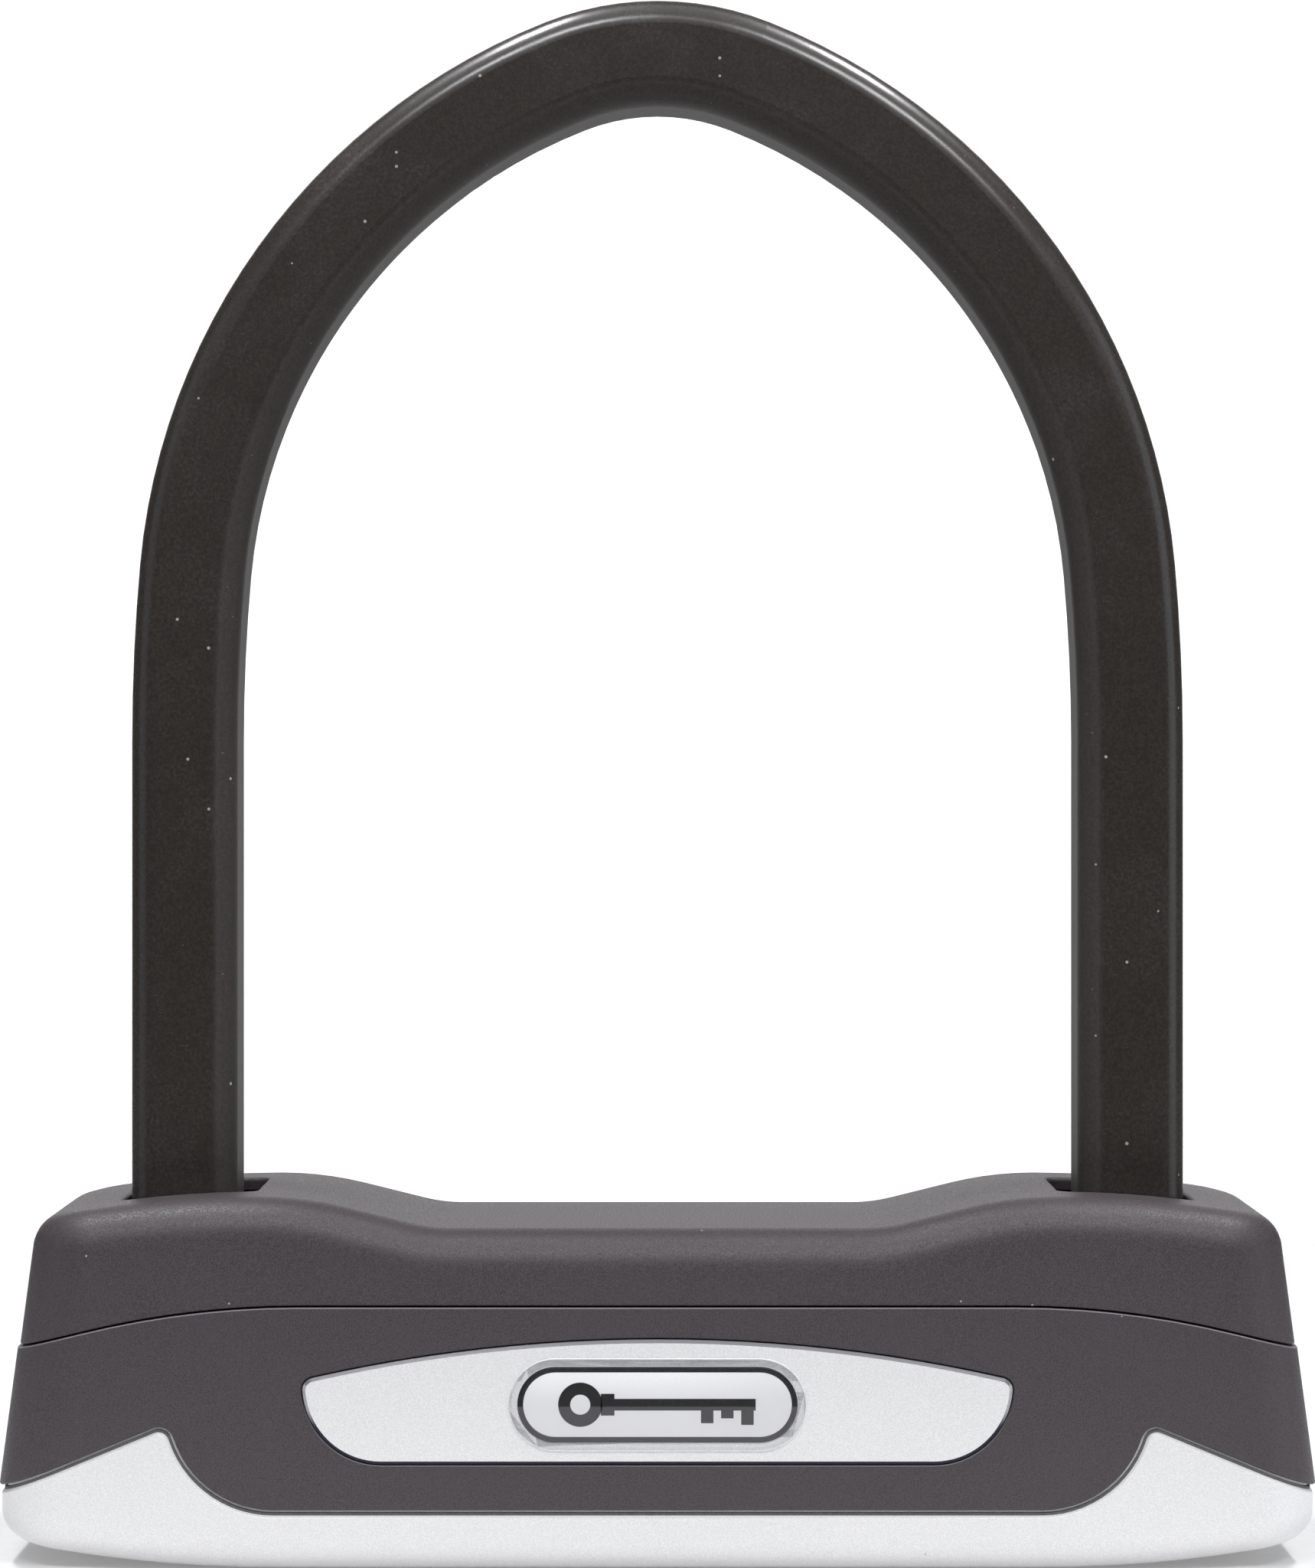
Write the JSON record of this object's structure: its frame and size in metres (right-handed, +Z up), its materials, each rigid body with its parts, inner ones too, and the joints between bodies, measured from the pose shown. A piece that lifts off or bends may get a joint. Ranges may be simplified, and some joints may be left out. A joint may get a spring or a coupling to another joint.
{
  "type": "bicycle u lock",
  "caption": "Bicycle u lock: arched square-bar shackle in a smooth sleeve, held at both legs by bolts in a wide tapered crossbar with a keyed cylinder under it.",
  "frame": {"origin": "middle of the flat foot of the cap, midway between the legs and midway through the crossbar's depth", "axes": "+Z up the legs towards the crown, +X across the legs towards the right leg seen from the badge side, +Y away from the badge"},
  "size_m": [0.1664, 0.04, 0.1989],
  "materials": {
    "cover_plastic": "fine spark-eroded matte grain, near-black",
    "cap_silver": "satin silver lacquer with fine metallic grain",
    "badge_silver": "satin silver lacquer with a bevelled rim",
    "emblem_foil": "printed silver foil with a black ring",
    "emblem_lens": "clear resin dome",
    "hardened_steel": "hardened, phosphated",
    "sleeve_vinyl": "semi-gloss black vinyl, dusty and lightly scratched",
    "case_steel": "zinc-plated pressed steel",
    "cast_zinc": "die-cast zinc alloy",
    "black_plastic": "moulded black",
    "rubber_black": "matte rubber",
    "brass": "machined",
    "fastener_steel": "bright zinc plated"
  },
  "bodies": {
    "lock_body": {"badge_plate": "badge_silver", "bottom_cap": "cap_silver", "buffer_pad_left": "rubber_black", "buffer_pad_right": "rubber_black", "cap_screw_left": "fastener_steel", "cap_screw_right": "fastener_steel", "cap_seal": "rubber_black", "case_base": "case_steel", "case_rivet_back_left": "fastener_steel", "case_rivet_back_right": "fastener_steel", "case_rivet_front_left": "fastener_steel", "case_rivet_front_right": "fastener_steel", "case_shell": "case_steel", "core_block": "cast_zinc", "cylinder_housing": "brass", "cylinder_stop_pin": "fastener_steel", "emblem_foil": "emblem_foil", "emblem_lens": "emblem_lens", "key_bezel": "brass", "leg_block_left": "cast_zinc", "leg_block_right": "cast_zinc", "leg_bush_left": "black_plastic", "leg_bush_right": "black_plastic", "lower_cover": "cover_plastic", "thrust_washer": "fastener_steel", "upper_cover": "cover_plastic"},
    "shackle": {"shackle_bar": "hardened_steel", "shackle_sleeve": "sleeve_vinyl"},
    "cylinder_plug": {"carrier_clip": "fastener_steel", "detainer_disc_1": "brass", "detainer_disc_2": "brass", "detainer_disc_3": "brass", "detainer_disc_4": "brass", "detainer_disc_5": "brass", "detainer_disc_6": "brass", "disc_carrier": "brass", "disc_spacer_1": "brass", "disc_spacer_2": "brass", "disc_spacer_3": "brass", "disc_spacer_4": "brass", "disc_spacer_5": "brass", "drill_guard": "hardened_steel", "scroll_cam": "fastener_steel", "sidebar": "fastener_steel"},
    "bolt_left": {"bolt_left": "hardened_steel", "drive_pin_left": "fastener_steel"},
    "bolt_right": {"bolt_right": "hardened_steel", "drive_pin_right": "fastener_steel"},
    "keyhole_cover": {"keyhole_slider": "black_plastic"}
  },
  "joints": [
    {"name": "shackle_slide", "type": "slide", "parent": "lock_body", "child": "shackle", "axis": [0, 0, 1], "range_m": [0, 0.06]},
    {"name": "cylinder_turn", "type": "hinge", "parent": "lock_body", "child": "cylinder_plug", "pos_m": [0, 0, 0], "axis": [0, 0, 1], "range_deg": [0, 90]},
    {"name": "bolt_left_slide", "type": "slide", "parent": "lock_body", "child": "bolt_left", "axis": [-1, 0, 0], "range_m": [0, 0.006]},
    {"name": "bolt_right_slide", "type": "slide", "parent": "lock_body", "child": "bolt_right", "axis": [1, 0, 0], "range_m": [0, 0.006]},
    {"name": "keyhole_cover_slide", "type": "slide", "parent": "lock_body", "child": "keyhole_cover", "axis": [1, 0, 0], "range_m": [0, 0.016]}
  ],
  "couplings": [
    {"joint": "bolt_left_slide", "follows": "cylinder_turn", "m_per_rad": 0.0038197},
    {"joint": "bolt_right_slide", "follows": "cylinder_turn", "m_per_rad": 0.0038197}
  ]
}
